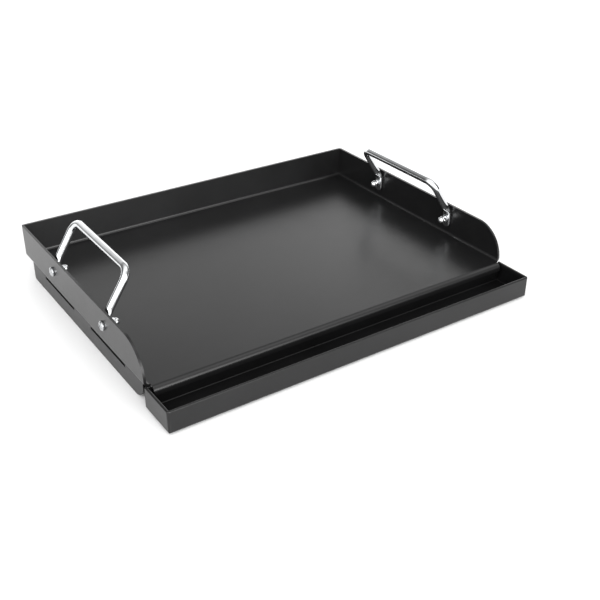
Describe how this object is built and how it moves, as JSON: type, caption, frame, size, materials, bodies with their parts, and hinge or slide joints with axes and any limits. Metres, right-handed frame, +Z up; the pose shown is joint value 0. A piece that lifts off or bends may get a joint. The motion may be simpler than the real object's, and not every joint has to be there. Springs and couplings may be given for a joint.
{
  "type": "flat-top griddle",
  "caption": "Black non-stick flat-top griddle pan with raised walls, rolled front lip, slotted side rails, chrome rod handles and a slide-out front grease tray.",
  "frame": {"origin": "under the centre of the whole griddle, on the surface that the rails stand on", "axes": "+Z up, +X to the right, -Y towards the front, where the grease tray is"},
  "size_m": [0.4386, 0.3434, 0.0985],
  "materials": {
    "pan_coating": "satin non-stick",
    "tray_coating": "satin non-stick",
    "frame_coating": "satin black",
    "handle_chrome": "polished",
    "zinc_steel": "bright zinc"
  },
  "bodies": {
    "griddle": {"griddle_pan": "pan_coating", "left_rail": "frame_coating", "right_rail": "frame_coating", "rear_rail": "frame_coating", "front_brace": "frame_coating", "middle_brace": "frame_coating", "rear_brace": "frame_coating", "left_tray_bracket": "frame_coating", "right_tray_bracket": "frame_coating", "left_tray_keeper": "frame_coating", "right_tray_keeper": "frame_coating", "left_handle": "handle_chrome", "right_handle": "handle_chrome", "left_handle_screws": "zinc_steel", "right_handle_screws": "zinc_steel", "left_flat_washers": "zinc_steel", "right_flat_washers": "zinc_steel", "left_spring_washers": "zinc_steel", "right_spring_washers": "zinc_steel", "left_cap_nuts": "handle_chrome", "right_cap_nuts": "handle_chrome"},
    "grease_tray": {"grease_tray": "tray_coating"}
  },
  "joints": [
    {"name": "tray_slide", "type": "slide", "parent": "griddle", "child": "grease_tray", "axis": [0, -1, 0], "range_m": [0, 0.08]}
  ]
}
